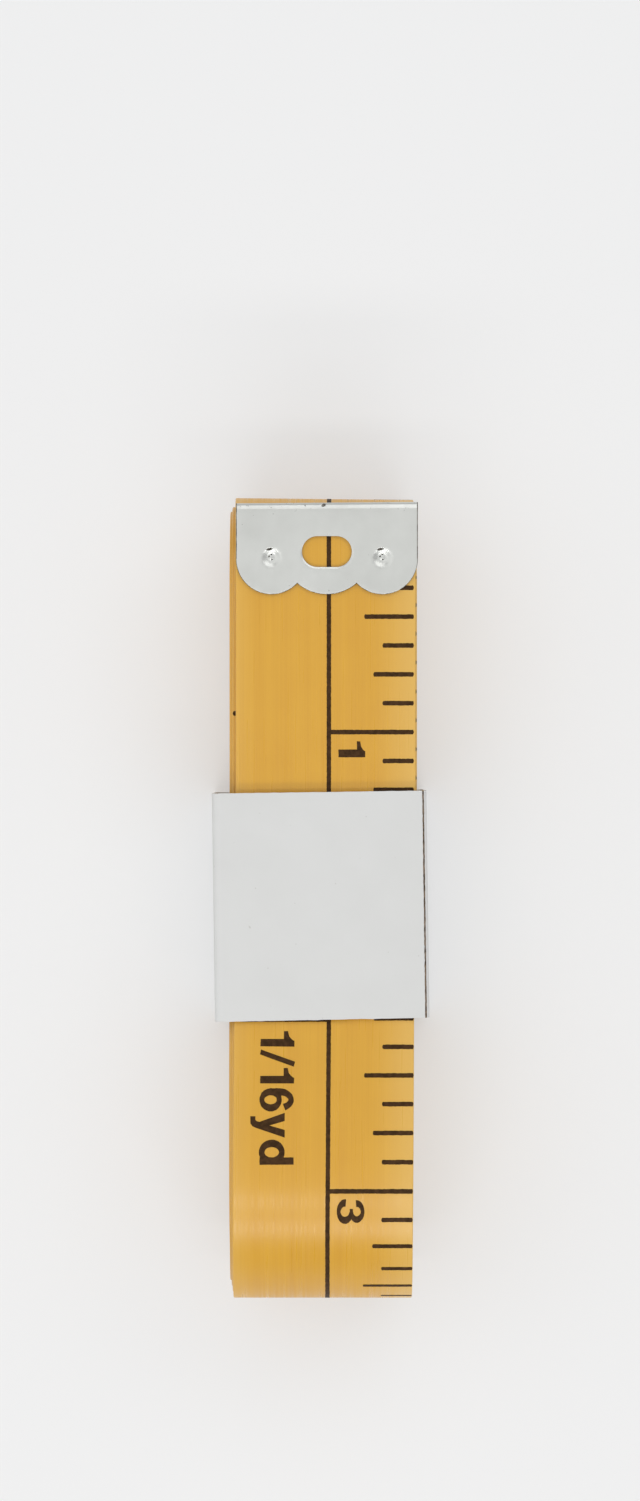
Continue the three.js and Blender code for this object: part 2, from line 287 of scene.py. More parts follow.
# %% [markdown]
# ## The path of the winding
# A tape of 144 inches is wound about twenty-one times round itself. The path is a flat spiral: each turn is
# a front run, an arc at the tip end, a back run and a loop at the far end, and reaches a little further out
# than the last. A winding has its whole length in its turns, so the one free measure, how far the ends of
# the inner turns are drawn in from those of the outer ones, is found by halving until the path is as long
# as the tape.

# %% A turn of the spiral
TURNS = 21
RUN_SHARE, ARC_SHARE = 0.38, 0.12  # of a turn
TIP_ROOM = 0.12 * MM  # the outer turns settle under the tip
LOOP_STRETCH = 1.10  # the far loops are a little longer than round

waist_reach = (WAIST_THICKNESS - TAPE_THICKNESS + FREE_END_LIFT) / 2
waist_middle = free_end_middle - waist_reach
leaf_inside = TAPE_THICKNESS / 2 + TIP_CLEARANCE
leaf_outside = leaf_inside + TIP_SHEET
core_reach = leaf_outside + CORE_GAP + TAPE_THICKNESS / 2
turn_pitch = (waist_reach - FREE_END_LIFT - TIP_ROOM - core_reach) / TURNS


def wound_share(turn):
    """Share of the hank's half thickness that the winding has reached after so many turns."""
    return (core_reach + turn_pitch * turn) / waist_reach


loop_back_share = wound_share(TURNS - ARC_SHARE)
loop_thickness = winding_high.z - winding_low.z
loop_reach = (loop_thickness - TAPE_THICKNESS) / (wound_share(TURNS) + loop_back_share)
loop_middle = TAPE_THICKNESS / 2 + loop_back_share * loop_reach
last_loop_reach = wound_share(TURNS - ARC_SHARE / 2) * loop_reach * LOOP_STRETCH
last_arc_reach = wound_share(TURNS - 1 + RUN_SHARE + ARC_SHARE / 2) * waist_reach
loop_centre = winding_low.y + TAPE_THICKNESS / 2 + last_loop_reach
arc_centre = winding_high.y - TAPE_THICKNESS / 2 - last_arc_reach


def smooth_step(x, low, high):
    share = np.clip((x - low) / (high - low), 0, 1)
    return share * share * (3 - 2 * share)


def part_way(first, second, share):
    return first + (second - first) * share


def middle_at(y):
    return part_way(waist_middle, loop_middle, smooth_step(-y, SWELL_START, -loop_centre))


def reach_at(y):
    return part_way(waist_reach, loop_reach, smooth_step(-y, SWELL_START, -loop_centre))


print("pitch of the turns:", in_mm(turn_pitch))

# %% The whole path, from the outer end inwards
RUN_STEPS, ARC_STEPS = 26, 48


def winding_path(drawn_in):
    """Places (y, z) of the middle of the tape, with the inner turns drawn in at both ends."""
    def centre_at(end, turn):
        """Middle of the bends at one end: 1 is the tip's end and -1 the far end."""
        return (arc_centre if end > 0 else loop_centre) - end * drawn_in * (1 - turn / TURNS)

    run = np.linspace(0, 1, RUN_STEPS + 1)[1:]
    arc = np.linspace(0, 1, ARC_STEPS + 1)[1:]
    sine, cosine = np.sin(np.pi * arc), np.cos(np.pi * arc)
    first_loop = centre_at(-1, 0)
    lead = np.linspace(inner_high.y - TIP_SHEET - TIP_END_GAP, first_loop, RUN_STEPS)
    fold = wound_share(0) * reach_at(first_loop) / 2
    pieces = [
        (lead, middle_at(lead)),
        (first_loop - fold * sine, middle_at(first_loop) + fold * (1 - cosine)),
    ]
    for half_turn in range(2 * TURNS):
        turn = half_turn / 2
        end = 1 - 2 * (half_turn % 2)  # front runs lead to the tip's end, back runs to the far end
        y = part_way(centre_at(-end, turn), centre_at(end, turn + RUN_SHARE), run)
        pieces.append((y, middle_at(y) + end * wound_share(turn + RUN_SHARE * run) * reach_at(y)))
        now = turn + RUN_SHARE + ARC_SHARE * arc
        centre = centre_at(end, now)
        radius = wound_share(now) * reach_at(centre)
        stretch = LOOP_STRETCH if end < 0 else 1
        pieces.append((centre + end * stretch * radius * sine, middle_at(centre) + end * radius * cosine))

    # The last front run climbs to the height of the free end, which lies level to the end of its tip
    y = part_way(centre_at(-1, TURNS), bend_y, run)
    pieces.append((y, middle_at(y) + part_way(wound_share(TURNS), 1, run) * reach_at(y)))
    pieces.append((np.array([tip_high.y]), np.array([free_end_middle])))
    inner_to_outer = np.concatenate([np.stack(piece, axis=1) for piece in pieces])
    return inner_to_outer[::-1]


def distances(path):
    steps = np.hypot(*np.diff(path, axis=0).T)
    return np.concatenate([[0], np.cumsum(steps)])


def outward_of(path, *spacing):
    """Unit vectors square to a path, at each of its places."""
    tangent = np.gradient(path, *spacing, axis=0)
    tangent /= np.linalg.norm(tangent, axis=1)[:, None]
    return np.stack([tangent[:, 1], -tangent[:, 0]], axis=1)


outermost = winding_path(0.0)
print("path:", len(outermost), "points, and", in_mm(distances(outermost)[-1]), "long with nothing drawn in")

# %% As long as the tape
TAPE_LENGTH = 144 * INCH
MOST_DRAWN_IN = 12 * MM
HALVINGS = 50

inner_cover = TIP_SHEET + TIP_END_GAP  # the scale ends at the inner tip's fold, a little past the tape
too_long, too_short = 0.0, MOST_DRAWN_IN
for _ in range(HALVINGS):
    drawn_in = (too_long + too_short) / 2
    if distances(winding_path(drawn_in))[-1] > TAPE_LENGTH - inner_cover:
        too_long = drawn_in
    else:
        too_short = drawn_in
path = winding_path(drawn_in)
along = distances(path)
print("length wound:", in_mm(along[-1]), " inner turns drawn in:", in_mm(drawn_in))

# %% [markdown]
# ## Places on the tape
# A printed mark is easiest to place by its distance along the tape, its place across it and its height off
# the middle of its thickness. One function turns these three into a place in the frame, so the strip and
# its print bend alike. Hand-wound turns never lie exactly over each other, so the function also lets the
# tape wander sideways, and lets the turns at the tip's end slant. The punches of the tips press the tape
# down with them.

# %% From tape measures to the frame
OUTER_SIDESTEPS = [  # distance along the tape and sideways place of its middle, mm
    (0, 0.55), (31, 0.55), (80, 0.22), (150, 0.25), (187, 0.41), (201, 0.43), (210, 0.70), (238, 0.70),
    (262, 0.20), (300, 0.12), (370, 0.42), (405, 0.42), (418, 0.19), (450, 0.17), (500, 0.00), (560, 0.08),
    (625, 0.08), (690, -0.15), (800, -0.15), (870, -0.10), (1000, -0.10),
]
WANDER = 0.22 * MM
WANDER_LENGTH = 60 * MM
WANDER_SEED = 0.37
ARC_SLANT = 0.011  # the turns reach a little further on the left, at the tip's end
FREE_LENGTH = 60 * MM  # more than the free end
TIP_BACK = 0.15 * MM  # the outer tip's fold ends a little short of the scale's zero
TIP_ASIDE = 0.13 * MM  # and its middle is to the right of the tape's
CLINCH_SPAN = 12.2 * MM
CLINCH_DEPTH = 6.1 * MM
CLINCH_RADIUS = 1.15 * MM
CLINCH_FLOOR_RADIUS = 0.45 * MM
CLINCH_DROP = 0.22 * MM
PEAK_RADIUS = 0.34 * MM  # the punch leaves a small peak in the middle
PEAK_HEIGHT = 0.07 * MM

outward = outward_of(path, along)
sidestep_at, sidestep = np.array(OUTER_SIDESTEPS).T * MM


def sideways(distance):
    """Sideways place of the tape's middle: as seen on the outer turns, and a soft wander further in."""
    places = [Vector((d / WANDER_LENGTH, WANDER_SEED, 0.0)) for d in np.ravel(distance)]
    wander = WANDER * np.array([noise.noise(place) for place in places]).reshape(np.shape(distance))
    inner = smooth_step(distance, sidestep_at[-1], sidestep_at[-1] + WANDER_LENGTH)
    return np.interp(distance, sidestep_at, sidestep) + inner * wander


def clinch_drop(across, from_fold):
    """How far the two clinches of a tip press a layer down."""
    radius = np.hypot(np.abs(across) - CLINCH_SPAN / 2, from_fold - CLINCH_DEPTH)
    floor_share = 1 - smooth_step(radius, CLINCH_FLOOR_RADIUS, CLINCH_RADIUS)
    return CLINCH_DROP * floor_share - PEAK_HEIGHT * (1 - smooth_step(radius, 0, PEAK_RADIUS))


def on_tape(distance, across, height):
    """Places in the frame of points on the tape, as an array of x, y, z."""
    distance, across, height = np.broadcast_arrays(distance, across, height)
    y, z = (np.interp(distance, along, path[:, k]) + height * np.interp(distance, along, outward[:, k])
            for k in (0, 1))
    y = y - ARC_SLANT * across * smooth_step(y, arc_centre, winding_high.y) * (distance > FREE_LENGTH)
    outer_press = clinch_drop(across - TIP_ASIDE, distance - TIP_BACK)
    z = z - outer_press - clinch_drop(across, along[-1] + inner_cover - distance)
    return np.stack([sideways(distance) + across, y, z], axis=-1)


nine_inches = on_tape(9 * INCH, 0.0, TAPE_THICKNESS / 2)
print("the nine inch mark lies at y =", in_mm(nine_inches[1]))

# %% [markdown]
# ## The strip itself
# The tape is a closed strip: a thin section with rounded edges, swept along the path. It is two pieces,
# because the free end bends up at the band while the turns under it stay. They part beneath the band, in
# the middle of the hank. Each point keeps its place on the tape in an attribute, so that the finish can run
# along the strip round every turn.

# %% Meshes that know their place on the tape
SHARP_ANGLE = 50  # degrees
PLACE_NAME = "tape_place"  # across, along and height, in mm


def finish_mesh(name, vertices, faces, sharp_angle=SHARP_ANGLE):
    mesh = bpy.data.meshes.new(name)
    mesh.from_pydata(vertices.reshape(-1, 3).tolist(), [], faces)
    mesh.validate()
    mesh.shade_smooth()
    mesh.set_sharp_from_angle(angle=math.radians(sharp_angle))
    obj = bpy.data.objects.new(name, mesh)
    scene.collection.objects.link(obj)
    return obj


def keep_place(obj, *measures):
    """Keeps each point's place on the tape with the mesh."""
    attribute = obj.data.attributes.new(PLACE_NAME, "FLOAT_VECTOR", "POINT")
    places = np.stack([np.ravel(m) for m in np.broadcast_arrays(*measures)], axis=1) / MM
    attribute.data.foreach_set("vector", places.astype(np.float32).ravel())


def tape_places(shader):
    """The kept places, for a finish."""
    node = add_node(shader, "ShaderNodeAttribute")
    node.attribute_name = PLACE_NAME
    return node.outputs["Vector"]


print("places are kept as", PLACE_NAME)

# %% Sweep a section along the tape
EDGE_RADIUS = 0.11 * MM
EDGE_STEP = 30  # degrees, round each corner of the section
EDGE_SUPPORT = 0.06 * MM
PART_Y = 0.0  # where the two pieces part, under the band
TAIL_STEP = 0.16 * MM
HANK_POINTS, TAIL_POINTS = 2, 36  # over each face of the section


def mirrored(points):
    return [(-x, y) for x, y in reversed(points)]


def arc_points(x, y, radii, start, end, step):
    """Points on an arc of an ellipse, over a range of degrees."""
    angles = np.radians(np.linspace(start, end, max(2, round((end - start) / step) + 1)))
    return [(x + radii[0] * np.cos(a), y + radii[1] * np.sin(a)) for a in angles]


def tape_section(face_points):
    """Points (across, height) round the tape's section, with the given count over each face."""
    flat = tape_width / 2 - EDGE_RADIUS
    rise = TAPE_THICKNESS / 2 - EDGE_RADIUS
    face = np.linspace(flat - EDGE_SUPPORT, -flat + EDGE_SUPPORT, face_points)
    right = arc_points(flat, rise, (EDGE_RADIUS, EDGE_RADIUS), 0, 90, EDGE_STEP)
    upper = [(x, TAPE_THICKNESS / 2) for x in face]
    half_way = right + upper + mirrored(right)
    return np.array(half_way + [(-x, -h) for x, h in half_way])


def tape_strip(name, stations, face_points):
    across, height = tape_section(face_points).T
    count = len(across)
    places = on_tape(stations[:, None], across[None, :], height[None, :])
    last = (len(stations) - 1) * count
    faces = []
    for i in range(0, last, count):
        for k in range(count):
            n = (k + 1) % count
            faces.append((i + k, i + n, i + count + n, i + count + k))
    faces.append(tuple(range(count - 1, -1, -1)))
    faces.append(tuple(range(last, last + count)))
    strip = finish_mesh(name, places, faces)
    keep_place(strip, across[None, :], stations[:, None], height[None, :])
    return strip


tape_start = TIP_SHEET + TIP_END_GAP + TIP_BACK
front = np.argmax(path[:, 0] < loop_centre)  # the path's first run ends here
part_at = np.interp(PART_Y, path[front:0:-1, 0], along[front:0:-1])
hank_stations = np.concatenate([[part_at], along[along > part_at]])
tail_stations = np.linspace(tape_start, part_at, round(part_at / TAIL_STEP))
tape_hank = tape_strip("tape_hank", hank_stations, HANK_POINTS)
tape_tail = tape_strip("tape_tail", tail_stations, TAIL_POINTS)
print("hank:", len(tape_hank.data.vertices), "points; tail:", len(tape_tail.data.vertices), "points")

# %% [markdown]
# ## The coated tape's finish
# The tape is cloth with a mustard coating, satin rather than shiny. Fine streaks run along it from the
# coating blade, the threads beneath show faintly, and both edges are paler. The noise is stretched along
# the tape by the kept places, so the streaks follow every turn. They drive the colour, the gloss and a very
# low bump.

# %% Mustard coating with lengthwise streaks
TAPE_TONES = (0.65, 0.307, 0.001), (0.76, 0.402, 0.011)
TAPE_EDGE = (0.77, 0.45, 0.075)
EDGE_TONE_ASIDE = 1.2  # mm to the left of the middle, so the right edge is paler
EDGE_TONE_START, EDGE_TONE_END = 5.8, 11.8  # mm from there
BROAD_STREAKS = (0.75, 0.012, 0.0)  # how often a noise changes in a mm, across and along
FINE_STREAKS = (6.0, 0.03, 0.0)
GLOSS_STREAKS = (4.0, 0.05, 0.0)
THREADS = (3.2, 0.06, 0.0)
FINE_SHARE, CLOUD_SHARE = 0.45, 0.35
GLOSSY, DULL = (0.27,) * 3, (0.43,) * 3  # roughness

tape_finish, shader = new_material("mustard_coating")
place = tape_places(shader)
broad = noise_between(stretched(place, BROAD_STREAKS), *TAPE_TONES, low=0.31, high=0.69)
fine = noise_between(stretched(place, FINE_STREAKS), *TAPE_TONES, low=0.3, high=0.7)
cloudy = noise_between(place, *TAPE_TONES, scale=0.16, low=0.2, high=0.8)
colour = mixed(CLOUD_SHARE, mixed(FINE_SHARE, broad, fine), cloudy)
from_line = worked_out("ABSOLUTE", worked_out("ADD", one_axis(place, "X"), EDGE_TONE_ASIDE))
edge_share = share_between(from_line, EDGE_TONE_START, EDGE_TONE_END, "SMOOTHSTEP")
edged = mixed(edge_share, colour, (*TAPE_EDGE, 1))
gloss = noise_between(stretched(place, GLOSS_STREAKS), GLOSSY, DULL)
set_inputs(shader, Base_Color=edged, Roughness=gloss, Specular_IOR_Level=0.85)
threads = plain_noise(stretched(place, THREADS), detail=2.0)
add_bump(shader, threads, strength=0.35, distance=0.02 * MM)
coat((tape_hank, tape_tail), tape_finish)

# %% [markdown]
# ## Drawing the print
# The print is ink, laid on as a film. It could be painted by nodes, but a mark of half a millimetre would
# be lost when the finish is baked for other programs, so each mark is a film of its own, sunk into the
# coating. A mark starts as flat outlines in tape measures. A triangulation joins the outlines, keeps what
# any of them covers and leaves out the holes. The flat triangles then become a thin closed film, and the
# function of places bends it round the turns.

# %% Outlines to thin films
MERGED = 1e-5  # points this close are one, in mm


def filled(outlines, holes=(), spots=(), lines=()):
    """Flat points and triangles of what the outlines cover, without the holes; spots and lines lie inside."""
    points, loops = [], []
    for outline in [*outlines, *holes]:
        x, y = np.array(outline).T
        turns_left = np.sum(x * np.roll(y, -1) - y * np.roll(x, -1)) > 0
        loops.append(list(range(len(points), len(points) + len(outline))))
        points.extend(outline if turns_left else outline[::-1])
    points.extend(spots)
    kept_edges = []
    for line in lines:
        kept_edges += [(len(points) + i, len(points) + i + 1) for i in range(len(line) - 1)]
        points.extend(line)
    flat = [Vector((x / MM, y / MM)) for x, y in points]
    made, _, triangles, _, _, sources = delaunay_2d_cdt(flat, kept_edges, loops, 0, MERGED, True)
    first_hole = len(outlines)
    kept = [t for t, s in zip(triangles, sources) if s and max(s) < first_hole]
    used = sorted({i for t in kept for i in t})
    number = {old: new for new, old in enumerate(used)}
    return np.array([made[i] for i in used]) * MM, [[number[i] for i in t] for t in kept]


def slab_faces(triangles, count):
    """Faces of a closed slab over flat triangles: its top, its bottom count points later, and its rim."""
    edges = [(t[i - 1], t[i]) for t in triangles for i in range(3)]
    inner = set(edges)
    rim = [(a, b) for a, b in edges if (b, a) not in inner]
    faces = [tuple(t) for t in triangles] + [tuple(i + count for i in reversed(t)) for t in triangles]
    return faces + [(b, a, a + count, b + count) for a, b in rim]


def rectangle(low_u, high_u, low_v, high_v, step):
    """An outline with points at about the given step along its edges."""
    across = np.linspace(low_v, high_v, max(2, math.ceil((high_v - low_v) / step) + 1))
    length = np.linspace(low_u, high_u, max(2, math.ceil((high_u - low_u) / step) + 1))
    outline = [(low_u, v) for v in across[::-1]] + [(u, low_v) for u in length[1:]]
    return outline + [(high_u, v) for v in across[1:]] + [(u, high_v) for u in length[-2:0:-1]]


print("a square of one mm:", len(filled([rectangle(0, MM, 0, MM, MM)])[1]), "triangles")

# %% [markdown]
# ## Plain figures
# The figures are a plain bold sans serif. Blender's own font has no flag on its 1, so the few signs that
# the tape needs are drawn here, in a square one cap height tall: straight-edged outlines, and bows between
# an outer and an inner ellipse, thick at the sides and thin at top and bottom as in any bold face.
# Overlapping parts join in the triangulation. Wide figures are the same signs, stretched.

# %% Bows and bars
BOW_STEP = 9  # degrees


def bow(x, y, outer, inner, start=0, end=360):
    """Outline between two ellipses with the same middle, over a range of degrees."""
    far, near = (arc_points(x, y, radii, start, end, BOW_STEP) for radii in (outer, inner))
    return far + near[::-1]


def bowl(x, y, outer, inner):
    """A closed bow, as two halves that overlap."""
    return [bow(x, y, outer, inner, start, start + 200) for start in (-10, 170)]


def bar(low_x, high_x, low_y, high_y):
    return [(low_x, low_y), (high_x, low_y), (high_x, high_y), (low_x, high_y)]


def half_turned(outlines, width):
    return [[(width - x, 1 - y) for x, y in outline] for outline in outlines]


print("half a bowl has", len(bowl(0, 0, (1, 1), (0.5, 0.5))[0]), "points")

# %% Signs from bows and straight edges
SIX = [
    *bowl(0.345, 0.312, (0.345, 0.33), (0.132, 0.182)),
    bow(0.345, 0.55, (0.345, 0.445), (0.132, 0.285), 26, 182),
    bar(0.0, 0.213, 0.31, 0.56),
]
SIGNS = {  # room before, width, room after, and the outlines
    "0": (0.06, 0.69, 0.05, bowl(0.345, 0.5, (0.345, 0.51), (0.132, 0.355))),
    "1": (0.06, 0.46, 0.08, [
        [(0.235, 0), (0.46, 0), (0.46, 1), (0.29, 1), (0.27, 0.96), (0.22, 0.90), (0.15, 0.845),
         (0, 0.81), (0, 0.69), (0.235, 0.69)],
    ]),
    "2": (0.06, 0.68, 0.05, [
        bow(0.34, 0.70, (0.335, 0.31), (0.13, 0.155), -20, 180), bar(0.02, 0.68, 0, 0.165),
        [(0.02, 0), (0.28, 0.14), (0.59, 0.45), (0.655, 0.60), (0.46, 0.65), (0.02, 0.20)],
    ]),
    "3": (0.05, 0.69, 0.05, [
        bow(0.33, 0.735, (0.33, 0.28), (0.136, 0.14), -85, 190), bar(0.25, 0.42, 0.465, 0.585),
        bow(0.33, 0.29, (0.363, 0.305), (0.15, 0.162), -188, 85),
    ]),
    "4": (0.04, 0.70, 0.05, [
        bar(0.41, 0.61, 0, 1), bar(0, 0.70, 0.22, 0.37),
        [(0, 0.37), (0, 0.22), (0.18, 0.34), (0.45, 0.78), (0.5, 1), (0.40, 1)],
    ]),
    "5": (0.05, 0.68, 0.05, [
        bar(0.12, 0.63, 0.83, 1), [(0.05, 0.44), (0.24, 0.47), (0.28, 0.90), (0.12, 1)],
        bow(0.33, 0.325, (0.345, 0.34), (0.14, 0.175), -172, 128),
    ]),
    "6": (0.06, 0.69, 0.04, SIX),
    "7": (0.05, 0.66, 0.04, [
        bar(0, 0.66, 0.82, 1), [(0.14, 0), (0.36, 0), (0.66, 0.82), (0.66, 1), (0.44, 0.86)],
    ]),
    "8": (0.05, 0.69, 0.05, [
        *bowl(0.345, 0.735, (0.31, 0.28), (0.125, 0.13)), *bowl(0.345, 0.29, (0.345, 0.305), (0.14, 0.155)),
    ]),
    "9": (0.06, 0.69, 0.04, half_turned(SIX, 0.69)),
    "/": (0.01, 0.515, -0.02, [[(0, 0.02), (0.147, -0.012), (0.515, 0.985), (0.368, 1.025)]]),
    "y": (0.00, 0.73, 0.01, [
        [(0, 0.735), (0.24, 0.735), (0.375, 0.285), (0.507, 0.735), (0.73, 0.735), (0.44, -0.12),
         (0.40, -0.22), (0.31, -0.28), (0.10, -0.285), (0.10, -0.13), (0.20, -0.13), (0.25, -0.09),
         (0.27, -0.01), (0.245, 0.045)],
    ]),
    "d": (0.05, 0.735, 0.05, [*bowl(0.37, 0.357, (0.37, 0.38), (0.15, 0.212)), bar(0.52, 0.735, 0, 1)]),
}
print(len(SIGNS), "signs drawn")


# %% Words from signs
def written_width(text):
    return sum(sum(SIGNS[sign][:3]) for sign in text)


def written(text, start, foot, height, widen=1.0):
    """Outlines of a word that reads along the tape, its feet towards the left edge."""
    marks = []
    pen = start
    for sign in text:
        before, width, after, outlines = SIGNS[sign]
        pen += before * height * widen
        marks.append([[(pen + x * height * widen, foot + y * height) for x, y in o] for o in outlines])
        pen += (width + after) * height * widen
    return marks


print("3/16yd is", round(written_width("3/16yd"), 2), "cap heights long")

# %% [markdown]
# ## The scale
# Every eighth of an inch has a stroke at the right edge, longer at the quarters and halves, and the whole
# inches run in to a line down the middle. Inch figures lie on their side beside it. The left half counts in
# sixteenths of a yard, one every two and a quarter inches. The back of the tape counts on from 144, so
# under the free end it reads 287. Only the stretches that can come to light are printed: the outer turn,
# the run under it, and the back of the free end.

# %% Strokes and labels, in tape measures
STROKE = 0.50 * MM
STROKE_LENGTHS = {1: 3.45 * MM, 2: 4.45 * MM, 4: 5.45 * MM}  # by how many eighths they count
STROKE_MARGIN = 0.20 * MM  # from the edge of the tape
LINE_ACROSS = 0.35 * MM  # the long line, from the middle of the tape
LINE_WIDTH = 0.48 * MM
FIGURE_HEIGHT = 2.95 * MM
FIGURE_WIDEN = 1.30
FIGURE_ACROSS = 1.40 * MM  # foot of the figures
FIGURE_GAP = 0.78 * MM  # from the inch stroke
YARD_STEP = 2.25 * INCH
YARD_MARGIN = 0.45 * MM
YARD_ACROSS = -7.14 * MM
YARD_HEIGHT = 3.72 * MM
YARD_GAP = 1.06 * MM
YARD_LAG = 0.14 * MM  # the left half is printed a little further on
INK_STEP = 0.16 * MM  # between the points of a mark
ROUND_END = 0.09 * MM
SEAM = 0.02 * MM  # between the films of two pieces

stroke_end = tape_width / 2 - STROKE_MARGIN


def stroke_mark(at, low, high):
    """Outline of one stroke across the tape, with rounded ends."""
    outline = []
    for u, v in rectangle(at - STROKE / 2, at + STROKE / 2, low, high, INK_STEP):
        pull = ROUND_END * (2 * (u - at) / STROKE) ** 2
        outline.append((u, v + pull * (v == low) - pull * (v == high)))
    return outline


def yard_label(count):
    """Sixteenths of a yard in lowest terms, such as 3/16yd; no whole yard comes to light."""
    shared = math.gcd(count, 16)
    return f"{count // shared}/{16 // shared}yd"


print("an inch stroke is", in_mm(stroke_end - LINE_ACROSS), "long")


# %% All marks of a stretch of the scale
def steps_between(start, end, step):
    """The counts of a scale's steps whose strokes lie between two distances."""
    return range(math.ceil((start + STROKE) / step), math.floor((end - STROKE) / step) + 1)


def scale_marks(start, end):
    """All marks of a scale between two distances; what touches the long line is one mark with it."""
    low, high = LINE_ACROSS - LINE_WIDTH / 2, LINE_ACROSS + LINE_WIDTH / 2
    line = [rectangle(start + SEAM, end - SEAM, low, high, INK_STEP)]
    marks = [line]
    for eighth in steps_between(start, end, INCH / 8):
        at = eighth * INCH / 8
        size = math.gcd(eighth, 8)
        if size < 8:
            marks.append([stroke_mark(at, stroke_end - STROKE_LENGTHS[size], stroke_end)])
            continue
        line.append(stroke_mark(at, LINE_ACROSS, stroke_end))
        first, last = str(eighth // 8)[:-1], str(eighth // 8)[-1]
        before = written_width(first) * FIGURE_HEIGHT * FIGURE_WIDEN
        for text, pen in ((first, at - FIGURE_GAP - before), (last, at + FIGURE_GAP)):
            marks += written(text, pen, FIGURE_ACROSS, FIGURE_HEIGHT, FIGURE_WIDEN)
    for count in steps_between(start, end, YARD_STEP):
        at = count * YARD_STEP + YARD_LAG
        line.append(stroke_mark(at, -tape_width / 2 + YARD_MARGIN, LINE_ACROSS))
        marks += written(yard_label(count), at + YARD_GAP, YARD_ACROSS, YARD_HEIGHT)
    return marks


print("the first inch has", len(scale_marks(0, INCH)), "marks")

# %% [markdown]
# ## Ink on the winding
# Ink strays at its edges, in the grain of the coating. Past the band the print has drifted a little to the
# right. The band's squeeze and slack in the turns take up some tape, so the marks of the next turn come a
# little sooner. Only their ends show, beside the free end. One stray dot of ink shows at the left edge.

# %% Films of ink
FILM_TOP = 0.018 * MM  # above the coating
FILM_ROOT = 0.05 * MM  # below it
RAGGED = 0.030 * MM  # how far the ink's edge strays
RAGGED_LENGTH = 0.22 * MM
RAGGED_SEEDS = (0.5, 7.8)  # for straying along and across


def ragged(flat):
    """Strays each point of an outline a little."""
    strayed = flat.copy()
    for point, (u, v) in zip(strayed, flat):
        for axis, seed in enumerate(RAGGED_SEEDS):
            point[axis] += RAGGED * noise.noise(Vector((u / RAGGED_LENGTH, v / RAGGED_LENGTH, seed)))
    return strayed


def spots_over(outline):
    """A grid of points over an outline, so that a mark can bend anywhere."""
    grid_u, grid_v = (np.arange(min(places), max(places), INK_STEP) for places in zip(*outline))
    return [(u, v) for u in grid_u for v in grid_v]


def print_film(name, marks, side):
    """All marks as one piece; side turns flat points and a height into measures on that side of the tape."""
    vertices, faces, places = [], [], []
    count = 0
    for outlines in marks:
        spots = [spot for outline in outlines for spot in spots_over(outline)]
        flat, triangles = filled(outlines, spots=spots)
        flat = ragged(flat)
        for height in (TAPE_THICKNESS / 2 + FILM_TOP, TAPE_THICKNESS / 2 - FILM_ROOT):
            distance, across, lift_off = side(flat, height)
            vertices.append(on_tape(distance, across, lift_off))
            places.append(np.stack([across, distance, np.full(len(flat), lift_off)], axis=1))
        faces += [tuple(i + count for i in face) for face in slab_faces(triangles, len(flat))]
        count += 2 * len(flat)
    film = finish_mesh(name, np.concatenate(vertices), faces)
    keep_place(film, *np.concatenate(places).T)
    print(name, "has", len(marks), "marks")
    return film


print("the film is", in_mm(FILM_TOP + FILM_ROOT), "thick")

# %% Print both sides of the tape
PRINT_SHIFT = 0.17 * MM  # the drift past the band
UNDER_BAND = (32 * MM, 56 * MM)
GATHERED = [  # distance along the tape, and how much of it was taken up by then, mm
    (32, 0), (56, 0.20), (120, 0.20), (190, 1.40), (203, 1.40), (214, 2.83),
]
PRINTED_TO = 12.1 * INCH
EDGE_DOT = (426.2 * MM, 0.03 * MM, 0.7 * MM)  # distance along the tape, and reach from its left edge


def on_front(flat, height):
    past_band = smooth_step(flat[:, 0], *UNDER_BAND)
    taken_up = np.interp(flat[:, 0], *np.array(GATHERED).T * MM)
    return flat[:, 0] - taken_up, flat[:, 1] + PRINT_SHIFT * past_band, height


def on_back(flat, height):
    return 2 * TAPE_LENGTH - flat[:, 0], flat[:, 1], -height


dot_at, dot_near, dot_far = EDGE_DOT
left_edge = -tape_width / 2 - PRINT_SHIFT
edge_dot = [stroke_mark(dot_at, left_edge + dot_near, left_edge + dot_far)]
back_marks = scale_marks(2 * TAPE_LENGTH - part_at, 2 * TAPE_LENGTH - tape_start)
tail_print = print_film("tail_print", scale_marks(tape_start, part_at), on_front)
hank_print = print_film("hank_print", [*scale_marks(part_at, PRINTED_TO), edge_dot], on_front)
back_print = print_film("back_print", back_marks, on_back)

# %% [markdown]
# ## The ink's finish
# The ink is a dark warm brown that soaks a little into the coating, so it is mottled, and duller than what
# it lies on. A noise over the kept places does that, and follows the marks round the turns.

# %% Brown ink
INK_TONES = (0.040, 0.018, 0.004), (0.072, 0.034, 0.011)

ink_finish, shader = new_material("brown_ink")
mottle = noise_between(tape_places(shader), *INK_TONES, scale=2.2)
set_inputs(shader, Base_Color=mottle, Roughness=0.55, Specular_IOR_Level=0.12)
coat((tail_print, hank_print, back_print), ink_finish)

# %% [markdown]
# ## The metal tips
# Each tip is one blank of thin sheet: cut with three lobes at both ends and two slots, folded over the end
# of the tape, not quite square, and pinched through it by two round punches. It is made in that order. The
# flat blank is triangulated with rows of points where it folds and rings of points where it is punched,
# then bent by a function of places.

# %% The fold, seen from its side
SHOULDER_TILT = math.radians(17)  # the fold is pressed, so it slopes before the leaf lies flat
SHOULDER_LENGTH = 0.36 * MM
SHOULDER_RADIUS = 0.25 * MM
FOLD_STEPS = 200
ROUND_ROWS, SHOULDER_ROWS = 7, 4  # of points, on each side of the fold

